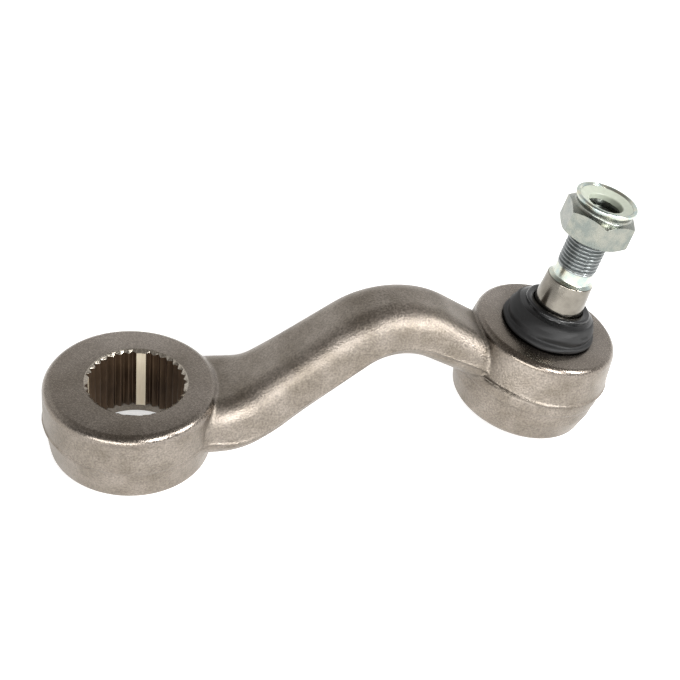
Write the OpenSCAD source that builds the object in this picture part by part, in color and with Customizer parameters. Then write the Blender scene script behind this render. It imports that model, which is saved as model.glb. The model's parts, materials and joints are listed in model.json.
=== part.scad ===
/* [Hub] */
// Height of the hub between its machined faces
hub_h = 25.6; // [22:0.2:32]
// Radius of the machined upper face
hub_face_r = 26.5; // [25:0.5:30]
// Radius of the hub at the forging's parting line
hub_parting_r = 27.6; // [27:0.2:32]
// Radius of the hub at the foot of its lower half
hub_foot_r = 25; // [24:0.5:27]
// Width of the bevels around the hub's faces
hub_bevel = 1.4; // [0.5:0.1:2]
// How far the hub's outline sits behind the bore axis
hub_offset = 1.7; // [0:0.1:2.5]

/* [Spline bore] */
// Diameter over the groove bottoms
spline_d = 31.75; // [28:0.25:33]
// Depth of each serration
spline_depth = 1; // [0.6:0.1:1.4]
// Serration pitches around the bore
spline_pitches = 36; // [28:4:40]
// Wide lands without a groove
spline_masters = 4; // [1, 2, 4]
// Share of a pitch that a groove takes at its mouth
groove_share = 0.62; // [0.4:0.01:0.68]
// Share of a groove's mouth that its root takes
root_share = 0.25; // [0.1:0.05:0.4]
// Depth of the lead-in bevel at each end of the bore
bore_bevel = 1.2; // [0.5:0.1:2]
// How far the lead-in opens past the groove bottoms
bore_flare = 0.6; // [0.2:0.1:1.2]

/* [Arm] */
// Distance from the bore axis to the ball centre along the arm
ball_reach = 128; // [120:1:150]
// Height of the ball centre above the hub's middle
ball_rise = 9.7; // [0:0.1:16]
// Where the arm starts to climb
knee_x = 33.6; // [31:0.1:40]
// Height of the arm's centreline at the hub
knee_rise = 0.7; // [0:0.1:2]
// Where the arm turns down again
crown_x = 80.5; // [74:0.5:88]
// Height of the corner of the centreline at the crown
crown_rise = 34; // [24:0.2:38]
// Bend radius of the centreline at the knee
knee_r = 26; // [18:1:30]
// Bend radius of the centreline at the crown
crown_r = 24; // [16:1:28]
// Thickness of the arm at the hub
arm_hub_t = 20.5; // [17:0.5:22]
// Thickness of the arm at the crown
arm_crown_t = 18.5; // [14:0.5:20]
// Thickness of the arm at the socket
arm_ball_t = 17; // [13:0.5:19]
// Width of the arm where it grows out of the hub
arm_root_w = 37; // [30:1:44]
// Width of the arm where it leaves the hub's fillet
arm_hub_w = 23; // [19:0.5:28]
// Width of the arm at the crown
arm_crown_w = 19; // [15:0.5:24]
// Width of the arm at the socket
arm_ball_w = 21; // [17:0.5:26]
// How far inside the hub's edge the fillet starts, and past the knee it ends
root_run = 4; // [3:0.2:5]
// How far outside the hub's edge the fillet is half done
root_half = 2.4; // [1:0.2:4]

/* [Ball socket] */
// Outward tilt of the socket axis
socket_tilt = 13; // [0:0.5:18]
// Height of the socket's face above the ball centre
socket_face = 14; // [13:0.2:17]
// Depth of the socket below the ball centre
socket_foot = 16.8; // [16.4:0.1:20]
// Radius of the socket's face
socket_face_r = 22.9; // [21:0.1:26]
// Radius of the socket at the parting line
socket_parting_r = 24.8; // [23:0.1:28]
// Radius of the socket at its foot
socket_foot_r = 20; // [18.5:0.1:23]
// Bevel around the socket's face
socket_bevel = 0.9; // [0.4:0.1:1.6]
// Width of the bevel around the socket's foot
foot_bevel = 1.9; // [1:0.1:2.6]
// Height of the bevel around the socket's foot
foot_bevel_h = 2.4; // [1:0.1:4]
// How far the lower half draws in from the parting line, half way to the foot
belly_draft = 0.8; // [0.2:0.1:1.4]
// Radius of the mouth that the stud leaves by
mouth_r = 12.3; // [11.8:0.1:12.5]
// How much narrower the mouth is at the roof
mouth_flare = 1.4; // [1:0.1:1.6]
// Wall between the ball and the socket
seat_wall = 1.8; // [1.4:0.1:2.4]
// Thickness of the lower seat's floor
seat_floor_t = 0.9; // [0.7:0.1:1]
// Half of the gap between the two seats
seat_split = 0.4; // [0.2:0.1:0.8]
// How far the upper seat stands into the mouth
seat_lip = 0.6; // [0.3:0.1:0.8]
// Depth of the straight opening in the upper seat
seat_land = 1.2; // [0.8:0.1:1.4]
// Diameter of the grease hole in the lower seat
grease_hole_d = 6.4; // [4:0.2:9]
// Height of the roof that holds the upper seat, above the ball centre
roof_h = 8.5; // [7.8:0.1:9]
// Thickness of the cover plate
cover_t = 1.2; // [0.8:0.1:2]
// How far the cover plate reaches into the socket's groove
cover_reach = 0.8; // [0.4:0.1:1.2]
// Thickness of the rim swaged over the cover plate
swage_t = 1; // [0.6:0.1:1.6]
// How far the swaged rim reaches over the cover plate
swage_reach = 1.8; // [1:0.1:2.4]
// Thickness of the spring washer's strip
spring_t = 0.6; // [0.4:0.1:0.9]
// Diameter of the hole in the spring washer
spring_hole_d = 12.6; // [10:0.2:16]
// Space between the spring washer's edge and the socket
spring_space = 1; // [0.5:0.1:2]

/* [Ball stud] */
// Diameter of the ball
ball_d = 25.4; // [24:0.2:26]
// Diameter of the neck under the taper
neck_d = 12.6; // [11:0.1:13]
// Height of the stud's shoulder above the socket's face
shoulder_h = 5.5; // [5:0.1:7]
// Length of the cone from the neck to the shoulder
shoulder_run = 2; // [1:0.1:3]
// Diameter of the taper at its big end
taper_d = 16.2; // [14.5:0.1:17]
// Length of taper for each millimetre of diameter
taper_ratio = 8; // [6:1:12]
// Length of the taper
taper_len = 9.8; // [8:0.2:14]
// Length of the plain shank between taper and thread
shank_len = 4.2; // [2:0.2:6]
// Length of the cone from the taper to the shank
shank_lead = 0.8; // [0.4:0.1:1.4]
// Depth of the shank below the thread's crests
shank_relief = 0.3; // [0.1:0.1:0.8]
// Diameter of the thread over its crests
thread_d = 12.7; // [11:0.1:13]
// Length of the thread
thread_len = 20; // [18:0.5:26]
// Bevel at the end of the stud
stud_bevel = 1.2; // [0.5:0.1:1.8]
// Lean of the stud away from the hub, from the socket axis
lean_out = 3; // [-6:0.5:6]
// Lean of the stud to the arm's far side, from the socket axis
lean_side = 3; // [-6:0.5:6]

/* [Dust boot] */
// Outside radius of the boot's foot
boot_foot_r = 15.2; // [14.6:0.1:18]
// Height of the boot's straight foot
boot_foot_h = 3; // [2:0.1:4]
// Wall of the boot
boot_wall = 1.8; // [1.2:0.1:2]
// Outside radius of the boot's shoulder
boot_shoulder_r = 12.4; // [11.6:0.1:13]
// Height of the boot's straight shoulder
boot_shoulder_h = 0.5; // [0.3:0.1:1]
// Distance from the stud's shoulder to the foot of the boot's lip
lip_lift = 0.5; // [0.2:0.1:1]
// Outside radius of the boot's lip
lip_r = 10.7; // [10:0.1:11.4]
// Height of the boot's lip along the stud
lip_h = 2.6; // [2:0.1:3.4]
// Bevel at the top of the boot's lip
lip_bevel = 0.5; // [0.2:0.1:0.9]
// Length of the lip's grip on the stud
lip_grip = 1.2; // [0.8:0.1:1.6]

/* [Lock nut] */
// Width of the hexagon across its flats
nut_af = 20.6; // [19:0.2:24]
// Height of the hexagon
nut_hex_h = 9; // [6.5:0.1:10]
// Slope of the bevels that round the hexagon's corners
nut_bevel_deg = 30; // [15:1:35]
// How far inside the flats those bevels start
nut_land = 0.3; // [0.2:0.1:0.6]
// Turn of the hexagon about the stud
nut_angle = 18; // [0:1:59]
// Height of the collar above the hexagon
collar_h = 4; // [3.5:0.1:5]
// Diameter of the collar's crimped rim
rim_d = 20.4; // [17.5:0.1:21]
// Height of the crimped rim
rim_h = 1.2; // [0.8:0.1:1.8]
// Bevel around the crimped rim
rim_bevel = 0.4; // [0.2:0.1:0.7]
// Depth of the groove under the rim
collar_groove = 0.8; // [0.4:0.1:1]
// Wall of the collar around the nylon ring
rim_wall = 1.5; // [1.2:0.1:1.8]
// Distance from the first thread to the nut
nut_place = 12.4; // [8:0.1:14]
// Height of the nylon ring's seat above the hexagon
insert_lift = 0.5; // [0.3:0.1:0.8]
// How far the nylon ring's edge lies below the rim
insert_sink = 0.9; // [0.5:0.1:1.1]
// Depth of the dish and of the bevel in the nylon ring
insert_dish = 0.4; // [0.2:0.1:0.6]
// Hole in the nylon ring
insert_hole_d = 11.2; // [9.5:0.1:12]

/* [Hidden] */
$fn = 96;
// Sides of the boot's hulls
boot_fn = 48;
// Running clearance between pieces that move on each other
clear = 0.1;
// Clearance of pieces seated inside the socket
seat_clear = 0.05;
// Clearance of the lower seat, which the spring pushes along the socket
slide_clear = 0.15;
// Overshoot of cuts and overlaps
cut = 1;
// Steps in each rounded corner of the arm's centreline
arc_steps = 6;
// Longest step along the arm between its rings
arm_step = 5;
// Points in a ring around the arm
ring_n = 16;
// Squareness of the arm's section: 1 is round, smaller is squarer
arm_round = 0.55;

hub_half = hub_h / 2;
spline_r = spline_d / 2;
spline_minor_r = spline_r - spline_depth;
bore_mouth_r = spline_r + bore_flare;
pitch_deg = 360 / spline_pitches;
master_step = spline_pitches / spline_masters;

ball_r = ball_d / 2;
seat_r = ball_r + seat_wall;
seat_ball_r = ball_r + seat_clear;
seat_floor = -seat_ball_r - seat_floor_t;
roof_mouth_r = mouth_r - mouth_flare;
cover_foot = -socket_foot + swage_t;
cover_top = cover_foot + cover_t;
cover_r = seat_r + cover_reach;
swage_r = cover_r - swage_reach;

shoulder_s = socket_face + shoulder_h;
lip_foot_s = shoulder_s + lip_lift;
taper_s = lip_foot_s + lip_h;
taper_end_s = taper_s + taper_len;
taper_end_d = taper_d - taper_len / taper_ratio;
thread_s = taper_end_s + shank_len;
stud_end_s = thread_s + thread_len;

nut_s = thread_s + nut_place;
collar_s = nut_s + nut_hex_h;
nut_top_s = collar_s + collar_h;
insert_s = collar_s + insert_lift;
insert_top_s = nut_top_s - insert_sink;
rim_r = rim_d / 2;
insert_r = rim_r - rim_wall;
insert_hole_r = insert_hole_d / 2;

// Points of an arc that rounds the corner at b on the way from a to c
function rounded(a, b, c, r) =
    let (
        u = (a - b) / norm(a - b),
        v = (c - b) / norm(c - b),
        half = acos(u * v) / 2,
        reach = r / tan(half),
        middle = b + (u + v) / norm(u + v) * r / sin(half),
        p = b + u * reach - middle,
        q = b + v * reach - middle
    )
    [for (i = [0:arc_steps])
        let (m = p * sin((180 - 2 * half) * (1 - i / arc_steps))
               + q * sin((180 - 2 * half) * i / arc_steps))
        middle + m / norm(m) * r];

// Points along a line, with long runs cut into even steps
function spaced(line) = concat(
    [for (i = [0:len(line) - 2])
        let (n = ceil(norm(line[i + 1] - line[i]) / arm_step))
        for (k = [0:n - 1]) line[i] + (line[i + 1] - line[i]) * k / n],
    [line[len(line) - 1]]
);

// Places a shape at the ball centre with the socket's axis as +Z
module at_socket() {
    translate([ball_reach, 0, ball_rise])
        rotate([0, socket_tilt, 0])
            children();
}

// Places a shape at the ball centre with the stud's axis as +Z
module at_stud() {
    translate([ball_reach, 0, ball_rise])
        rotate([-lean_side, socket_tilt + lean_out, 0])
            children();
}

module hub_blank() {
    translate([-hub_offset, 0, 0])
        rotate_extrude()
            polygon([
                [0, -hub_half],
                [hub_foot_r - hub_bevel, -hub_half],
                [hub_foot_r, -hub_half + hub_bevel],
                [hub_parting_r, 0],
                [hub_parting_r, hub_half - 2 * hub_bevel],
                [hub_face_r, hub_half],
                [0, hub_half]
            ]);
}

// Centreline of the arm in the X-Z plane, from inside the hub to the ball centre
arm_knee = [knee_x, knee_rise];
arm_crown = [crown_x, crown_rise];
arm_start = [hub_parting_r / 2, knee_rise];
arm_end = [ball_reach, ball_rise];
arm_line = spaced(concat(
    [arm_start],
    rounded(arm_start, arm_knee, arm_crown, knee_r),
    rounded(arm_knee, arm_crown, arm_end, crown_r),
    [arm_end]
));

// Width and thickness of the arm at a distance from the bore axis
function arm_w(x) = lookup(x, [
    [hub_parting_r - root_run, arm_root_w],
    [hub_parting_r + root_half, (arm_root_w + arm_hub_w) / 2],
    [knee_x + root_run, arm_hub_w],
    [crown_x, arm_crown_w],
    [ball_reach - socket_parting_r, arm_ball_w],
    [ball_reach, 2 * arm_ball_w]
]);
function arm_t(x) = lookup(x, [
    [knee_x, arm_hub_t],
    [crown_x, arm_crown_t],
    [ball_reach - socket_parting_r, arm_ball_t]
]);

// Ring of points around the arm's centreline at its i-th point
function arm_ring(i) =
    let (
        here = arm_line[i],
        way = arm_line[min(i + 1, len(arm_line) - 1)] - arm_line[max(i - 1, 0)],
        up = [-way[1], way[0]] / norm(way)
    )
    [for (k = [0:ring_n - 1])
        let (
            c = cos(360 * k / ring_n),
            s = sin(360 * k / ring_n),
            y = sign(c) * pow(abs(c), arm_round) * arm_w(here[0]) / 2,
            h = sign(s) * pow(abs(s), arm_round) * arm_t(here[0]) / 2
        )
        [here[0] + up[0] * h, y, here[1] + up[1] * h]];

module arm_blank() {
    n = len(arm_line);
    polyhedron(
        points = [for (i = [0:n - 1]) each arm_ring(i)],
        faces = concat(
            [[for (k = [0:ring_n - 1]) k]],
            [for (i = [0:n - 2], k = [0:ring_n - 1])
                let (next = (k + 1) % ring_n)
                each [
                    [i * ring_n + k, (i + 1) * ring_n + k, (i + 1) * ring_n + next],
                    [i * ring_n + k, (i + 1) * ring_n + next, i * ring_n + next]
                ]],
            [[for (k = [ring_n - 1:-1:0]) (n - 1) * ring_n + k]]
        )
    );
}

module socket_blank() {
    at_socket()
        rotate_extrude()
            polygon([
                [0, -socket_foot],
                [socket_foot_r, -socket_foot],
                [socket_foot_r + foot_bevel, -socket_foot + foot_bevel_h],
                [socket_parting_r - belly_draft, -socket_foot / 2],
                [socket_parting_r, 0],
                [socket_face_r, socket_face - socket_bevel],
                [socket_face_r - socket_bevel, socket_face],
                [0, socket_face]
            ]);
}

// Serrated bore with a bevelled lead-in at both ends
module bore_cut() {
    mouth_half = spline_minor_r * tan(pitch_deg * groove_share / 2);
    root_half_w = mouth_half * root_share;
    cylinder(h = hub_h + 2 * cut, r = spline_minor_r, center = true);
    for (i = [0:spline_pitches - 1])
        if (i % master_step != 0)
            rotate([0, 0, i * pitch_deg + 90])
                linear_extrude(height = hub_h + 2 * cut, center = true)
                    polygon([
                        [spline_minor_r - cut, -mouth_half],
                        [spline_minor_r, -mouth_half],
                        [spline_r, -root_half_w],
                        [spline_r, root_half_w],
                        [spline_minor_r, mouth_half],
                        [spline_minor_r - cut, mouth_half]
                    ]);
    for (side = [0, 1])
        mirror([0, 0, side])
            translate([0, 0, hub_half])
                rotate_extrude()
                    polygon([
                        [0, -bore_bevel],
                        [spline_minor_r, -bore_bevel],
                        [bore_mouth_r, 0],
                        [bore_mouth_r, cut],
                        [0, cut]
                    ]);
}

// Cavity for ball, seats, spring and cover, open at the mouth
module socket_cut() {
    at_socket()
        rotate_extrude()
            polygon([
                [0, -socket_foot - cut],
                [swage_r, -socket_foot - cut],
                [swage_r, cover_foot],
                [cover_r, cover_foot],
                [cover_r, cover_top],
                [seat_r, cover_top],
                [seat_r, roof_h],
                [roof_mouth_r, roof_h],
                [mouth_r, socket_face],
                [mouth_r, socket_face + cut],
                [0, socket_face + cut]
            ]);
}

module pitman_arm() {
    color("#8a837a")
        difference() {
            union() {
                hub_blank();
                arm_blank();
                socket_blank();
            }
            bore_cut();
            socket_cut();
        }
}

module upper_seat() {
    color("#d8d2c0")
        at_socket()
            difference() {
                translate([0, 0, seat_split])
                    cylinder(h = roof_h - seat_split, r = seat_r - seat_clear);
                sphere(r = seat_ball_r);
                translate([0, 0, roof_h - seat_land])
                    cylinder(h = seat_land + cut, r = roof_mouth_r - seat_lip);
            }
}

module lower_seat() {
    color("#cfc9b8")
        at_socket()
            difference() {
                translate([0, 0, seat_floor])
                    cylinder(h = -seat_split - seat_floor, r = seat_r - slide_clear);
                sphere(r = seat_ball_r);
                translate([0, 0, seat_floor - cut])
                    cylinder(h = ball_r, d = grease_hole_d);
            }
}

module spring_washer() {
    hole_r = spring_hole_d / 2;
    edge_r = seat_r - spring_space;
    color("#6f7276")
        at_socket()
            rotate_extrude()
                polygon([
                    [hole_r, seat_floor - spring_t],
                    [edge_r, cover_top],
                    [edge_r, cover_top + spring_t],
                    [hole_r, seat_floor]
                ]);
}

module cover_plate() {
    color("#9a9a97")
        at_socket()
            translate([0, 0, cover_foot])
                cylinder(h = cover_t, r = cover_r - seat_clear);
}

module ball_stud() {
    neck_r = neck_d / 2;
    taper_r = taper_d / 2;
    thread_r = thread_d / 2;
    shank_r = thread_r - shank_relief;
    color("#b9b8b2")
        at_stud() {
            sphere(r = ball_r);
            rotate_extrude()
                polygon([
                    [0, 0],
                    [neck_r, 0],
                    [neck_r, shoulder_s - shoulder_run],
                    [taper_r, shoulder_s],
                    [taper_r, taper_s],
                    [taper_end_d / 2, taper_end_s],
                    [shank_r, taper_end_s + shank_lead],
                    [shank_r, thread_s],
                    [thread_r, thread_s],
                    [thread_r, stud_end_s - stud_bevel],
                    [thread_r - stud_bevel, stud_end_s],
                    [0, stud_end_s]
                ]);
        }
}

// Solid of the boot between its foot on the socket and its shoulder around the stud
module boot_solid(foot_r, shoulder_r, foot_h, sink) {
    hull() {
        at_socket()
            translate([0, 0, socket_face + clear - sink])
                cylinder(h = foot_h + sink, r = foot_r, $fn = boot_fn);
        at_stud()
            translate([0, 0, lip_foot_s - clear - boot_shoulder_h])
                cylinder(h = boot_shoulder_h + sink, r = shoulder_r, $fn = boot_fn);
    }
}

module dust_boot() {
    color("#2b2b2c")
        difference() {
            boot_solid(boot_foot_r, boot_shoulder_r, boot_foot_h, 0);
            boot_solid(
                boot_foot_r - boot_wall,
                boot_shoulder_r - boot_wall,
                boot_foot_h - boot_wall,
                cut
            );
        }
}

// Sealing lip of the boot, which grips the stud and moves with it
module boot_lip() {
    grip_r = taper_d / 2 + clear;
    color("#2b2b2c")
        at_stud()
            rotate_extrude()
                polygon([
                    [boot_shoulder_r - boot_wall, lip_foot_s],
                    [boot_shoulder_r, lip_foot_s],
                    [lip_r, taper_s - lip_bevel],
                    [lip_r - lip_bevel, taper_s],
                    [grip_r, taper_s],
                    [grip_r, taper_s - lip_grip]
                ]);
}

module nut_insert() {
    edge_r = insert_r - seat_clear;
    color("#cfd3c4")
        at_stud()
            rotate_extrude()
                polygon([
                    [insert_hole_r, insert_s],
                    [edge_r, insert_s],
                    [edge_r, insert_top_s],
                    [insert_hole_r + insert_dish, insert_top_s - insert_dish],
                    [insert_hole_r, insert_top_s - 2 * insert_dish]
                ]);
}

module lock_nut() {
    flat_r = nut_af / 2;
    corner_r = flat_r / cos(30);
    land_r = flat_r - nut_land;
    drop = (corner_r - land_r) * tan(nut_bevel_deg);
    groove_r = rim_r - collar_groove;
    color("#b4b8b2")
        at_stud()
            difference() {
                union() {
                    intersection() {
                        translate([0, 0, nut_s])
                            rotate([0, 0, nut_angle])
                                cylinder(h = nut_hex_h, r = corner_r, $fn = 6);
                        rotate_extrude()
                            polygon([
                                [0, nut_s - cut],
                                [land_r - cut / tan(nut_bevel_deg), nut_s - cut],
                                [corner_r + cut / tan(nut_bevel_deg), nut_s + drop + cut],
                                [corner_r + cut / tan(nut_bevel_deg), collar_s - drop - cut],
                                [land_r - cut / tan(nut_bevel_deg), collar_s + cut],
                                [0, collar_s + cut]
                            ]);
                    }
                    rotate_extrude()
                        polygon([
                            [0, collar_s - cut],
                            [groove_r, collar_s - cut],
                            [groove_r, collar_s + collar_groove],
                            [rim_r, nut_top_s - rim_h],
                            [rim_r, nut_top_s - rim_bevel],
                            [rim_r - rim_bevel, nut_top_s],
                            [0, nut_top_s]
                        ]);
                }
                translate([0, 0, nut_s - cut])
                    cylinder(h = nut_hex_h + collar_h + 2 * cut, r = thread_d / 2 + clear);
                translate([0, 0, insert_s - seat_clear])
                    cylinder(h = collar_h + cut, r = insert_r);
            }
}

pitman_arm();
upper_seat();
lower_seat();
spring_washer();
cover_plate();
ball_stud();
dust_boot();
boot_lip();
nut_insert();
lock_nut();
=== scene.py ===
import itertools
import json
import math

import bmesh
import bpy
import numpy as np
from mathutils import Matrix, Vector


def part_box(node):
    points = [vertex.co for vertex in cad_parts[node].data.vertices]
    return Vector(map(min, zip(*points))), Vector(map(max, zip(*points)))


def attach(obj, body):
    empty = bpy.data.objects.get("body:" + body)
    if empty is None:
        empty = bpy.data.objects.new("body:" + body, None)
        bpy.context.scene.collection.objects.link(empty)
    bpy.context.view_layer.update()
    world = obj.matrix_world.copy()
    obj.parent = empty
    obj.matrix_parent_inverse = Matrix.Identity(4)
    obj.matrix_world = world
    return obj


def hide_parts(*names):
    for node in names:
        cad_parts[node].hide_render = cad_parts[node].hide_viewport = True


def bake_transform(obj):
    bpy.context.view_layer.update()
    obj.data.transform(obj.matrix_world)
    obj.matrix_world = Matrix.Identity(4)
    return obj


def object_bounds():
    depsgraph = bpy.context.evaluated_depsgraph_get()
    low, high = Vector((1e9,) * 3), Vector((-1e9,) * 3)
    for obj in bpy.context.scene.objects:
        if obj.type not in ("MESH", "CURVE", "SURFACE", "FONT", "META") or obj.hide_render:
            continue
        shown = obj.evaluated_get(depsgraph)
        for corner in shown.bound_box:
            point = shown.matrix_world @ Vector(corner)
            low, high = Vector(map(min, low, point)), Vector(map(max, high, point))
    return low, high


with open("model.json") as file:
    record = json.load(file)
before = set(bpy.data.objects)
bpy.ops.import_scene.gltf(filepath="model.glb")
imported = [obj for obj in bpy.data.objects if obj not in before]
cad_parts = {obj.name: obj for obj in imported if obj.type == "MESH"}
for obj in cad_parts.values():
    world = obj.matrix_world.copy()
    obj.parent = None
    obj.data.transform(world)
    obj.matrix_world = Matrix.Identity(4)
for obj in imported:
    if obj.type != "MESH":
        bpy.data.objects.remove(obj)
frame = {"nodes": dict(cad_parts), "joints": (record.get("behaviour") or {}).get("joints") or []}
cad_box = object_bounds()

# Forged arm: the blank
# One drop forging in steel, a round hub, a cranked arm and a ball socket hammered between two dies.
# The dies leave rounded edges, deep fillets and a trimmed line of flash around the middle.
MM = 0.001
joints = {joint["name"]: joint for joint in frame["joints"]}
ball = np.array(joints["stud_spin"]["pos_m"]) / MM
socket_tilt = math.radians(13)
socket_axis = np.array([math.sin(socket_tilt), 0, math.cos(socket_tilt)])
arm_low = np.array(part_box("pitman_arm")[0]) / MM

# Hub: radii of its wall at these heights, and the rounding of each rim
hub_half = -arm_low[2]
hub_r = 27.6
hub_x = arm_low[0] + hub_r
hub_stock = 0.1
hub_edge, hub_foot_edge = 3.3, 1.6
hub_parting = -0.8
hub_heights = [-hub_half, -10.6, -2.2, 0.6, hub_half]
hub_radii = [24.7, 25.3, 26.6, 27.2, 27.3]

# Socket: the same, along its own tilted axis from the centre of the ball
socket_face = 14.0
socket_foot = -16.8
socket_parting = 1.0
socket_stock = 0.1
socket_edge = 2.2
socket_heights = [socket_foot, -14.4, -8.4, -4.1, -3.5, 0.3, 1.0, socket_face]
socket_radii = [20.4, 22.0, 23.6, 23.9, 24.25, 24.3, 24.75, 23.2]

# Arm: its crank in the XZ plane, and its section at stations along X
arm_corners = np.array([[13.8, 2.0], [33.8, 2.0], [79.4, 35.8], [ball[0], 5.8]])
arm_bends = [26, 24]
arm_stations = [23.6, 29.4, 38, 46, 58, 80.5, 103.2, ball[0]]
arm_widths = [34.8, 34.2, 28.6, 26.4, 25.2, 23, 25.6, 29]
arm_thicks = [18.8, 19, 18.8, 18.4, 18, 17.6, 14.2, 13.2]
arm_top_edge, arm_foot_edge = 7.5, 6.5
arm_draft = math.tan(math.radians(5))
arm_partings = [-2, -3.5, -4.6, -5, -5, -4, -0.8, 1.5]
arm_smoothing = 9

# Fillets where the three meet, the flash and how it varies, and how finely the skin is drawn
hub_fillet = 1.0
socket_fillet = 0.9
flash_height = 0.5
flash_width = 0.5
trim_drop, trim_depth = 1.7, 0.6
hub_wander, hub_flash, hub_flash_swing = 0.4, 0.75, 0.55
arm_flash, arm_flash_swing, arm_flash_run = 0.55, 0.25, 7
socket_flash, socket_flash_run, socket_flash_least, socket_flash_most = 0.9, 80, 0.85, 1.05
forging_cell = 1.7
even_passes, settle_passes = 4, 2
fine_bends = [math.radians(d) for d in (0, 7, 18)]
nudge = 0.02


def unit(v):
    return v / np.linalg.norm(v, axis=-1, keepdims=True)


def bent_line(corners, bends, steps=24):
    """Points along straight runs whose corners are rounded to the bend radii."""
    points = [corners[0]]
    for before, corner, after, radius in zip(corners, corners[1:], corners[2:], bends):
        u, v = unit(before - corner), unit(after - corner)
        half = math.acos(u @ v) / 2
        out, across = unit(-u - v), unit(v - u)
        middle = corner - out * radius / math.sin(half)
        for turn in np.linspace(half - math.pi / 2, math.pi / 2 - half, steps):
            points.append(middle + radius * (out * math.cos(turn) + across * math.sin(turn)))
    return np.array(points + [corners[-1]])


def smooth_max(a, b, reach):
    share = np.clip(0.5 + 0.5 * (a - b) / reach, 0, 1)
    return b + (a - b) * share + reach * share * (1 - share)


def rounded(a, b, radius):
    """Inside both of two distances, with the edge where they meet rounded to the radius."""
    inner = np.minimum(np.maximum(a, b), -radius)
    return inner + np.hypot(np.maximum(a + radius, 0), np.maximum(b + radius, 0))


def flash(height, size=1.0):
    """The ridge that trimming leaves along the parting line, with a shallow groove under it."""
    ridge = np.exp(-((height / flash_width) ** 2))
    groove = np.exp(-((height / flash_width + trim_drop) ** 2))
    return size * flash_height * (ridge - trim_depth * groove)


bends = bent_line(arm_corners, arm_bends)
run = np.append(0, np.cumsum(np.linalg.norm(np.diff(bends, axis=0), axis=1)))
arm_run = np.arange(0, run[-1], 1.0)
arm_line = np.stack([np.interp(arm_run, run, bends[:, k]) for k in (0, 1)], axis=1)
arm_way = unit(np.gradient(arm_line, axis=0))
arm_up = np.stack([-arm_way[:, 1], arm_way[:, 0]], axis=1)


def along_arm(sizes):
    """Sizes at the stations, spread along the arm without kinks."""
    steps = np.interp(arm_line[:, 0], arm_stations, sizes)
    padded = np.pad(steps, arm_smoothing // 2, mode="edge")
    return np.convolve(padded, np.ones(arm_smoothing) / arm_smoothing, "valid")


arm_half_w = along_arm(arm_widths) / 2
arm_half_t = along_arm(arm_thicks) / 2
arm_parting = along_arm(arm_partings)


def hub_distance(p, trim):
    angle = np.arctan2(p[:, 1], p[:, 0] - hub_x)
    side = np.hypot(p[:, 0] - hub_x, p[:, 1]) - np.interp(p[:, 2], hub_heights, hub_radii)
    line = p[:, 2] - hub_parting + hub_wander * np.sin(3 * angle)
    side -= trim * flash(line, hub_flash + hub_flash_swing * np.cos(2 * angle))
    stock = hub_half + hub_stock
    return rounded(rounded(side, p[:, 2] - stock, hub_edge), -p[:, 2] - stock, hub_foot_edge)


def arm_distance(p, trim):
    place = p[:, [0, 2]]
    squares = (place**2).sum(1)[:, None] - 2 * place @ arm_line.T + (arm_line**2).sum(1)
    near = squares.argmin(1)
    off = place - arm_line[near]
    along = arm_run[near] + (off * arm_way[near]).sum(1)
    rise = (off * arm_up[near]).sum(1)
    half_w = np.interp(along, arm_run, arm_half_w)
    half_t = np.interp(along, arm_run, arm_half_t)
    lift = rise - np.interp(along, arm_run, arm_parting)
    side = np.abs(p[:, 1]) - half_w + arm_draft * np.abs(lift)
    side -= trim * flash(lift, arm_flash + arm_flash_swing * np.sin(along / arm_flash_run))
    section = rounded(rounded(side, rise - half_t, arm_top_edge), -rise - half_t, arm_foot_edge)
    return np.maximum(section, np.maximum(-along, along - arm_run[-1]))


def socket_distance(p, trim):
    off = p - ball
    height = off @ socket_axis
    radius = np.linalg.norm(off - height[:, None] * socket_axis, axis=1)
    toward_arm = np.clip(
        socket_flash - off[:, 0] / socket_flash_run, socket_flash_least, socket_flash_most)
    side = radius - np.interp(height, socket_heights, socket_radii)
    side -= trim * flash(height - socket_parting, toward_arm)
    ends = np.maximum(height - socket_face - socket_stock, socket_foot - height)
    return rounded(side, ends, socket_edge)


def smooth_blank(p, trim=0):
    joined = -smooth_max(-hub_distance(p, trim), -arm_distance(p, trim), hub_fillet)
    return -smooth_max(-joined, -socket_distance(p, trim), socket_fillet)


def trimmed_blank(p):
    return smooth_blank(p, 1)


def in_turns(distance, points, size=60000):
    """Distances of many points, a batch at a time."""
    return np.concatenate([distance(points[i:i + size]) for i in range(0, len(points), size)])


def skin(distance, low, high, cell):
    """Quads around the region where the distance is negative, one corner in each mixed cell."""
    axes = [np.arange(a, b + cell, cell) for a, b in zip(low, high)]
    grid = np.stack(np.meshgrid(*axes, indexing="ij"), axis=-1)
    inside = in_turns(distance, grid.reshape(-1, 3)).reshape(grid.shape[:3]) < 0
    corners = np.zeros(np.array(inside.shape) - 1, int)
    for x, y, z in itertools.product((0, 1), repeat=3):
        corners += inside[x:, y:, z:][:corners.shape[0], :corners.shape[1], :corners.shape[2]]
    mixed = (corners > 0) & (corners < 8)
    number = np.full(corners.shape, -1)
    number[mixed] = np.arange(mixed.sum())
    quads = []
    for axis in range(3):
        filled, cells = np.moveaxis(inside, axis, 0), np.moveaxis(number, axis, 0)
        before, after = filled[:-1, 1:-1, 1:-1], filled[1:, 1:-1, 1:-1]
        around = [cells[:, :-1, :-1], cells[:, 1:, :-1], cells[:, 1:, 1:], cells[:, :-1, 1:]]
        crossed = before != after
        found = np.stack(around, axis=-1)[crossed]
        flip = before[crossed] == (axis == 1)
        found[flip] = found[flip][:, ::-1]
        quads.append(found)
    return grid[:-1, :-1, :-1][mixed] + cell / 2, np.concatenate(quads)


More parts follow.
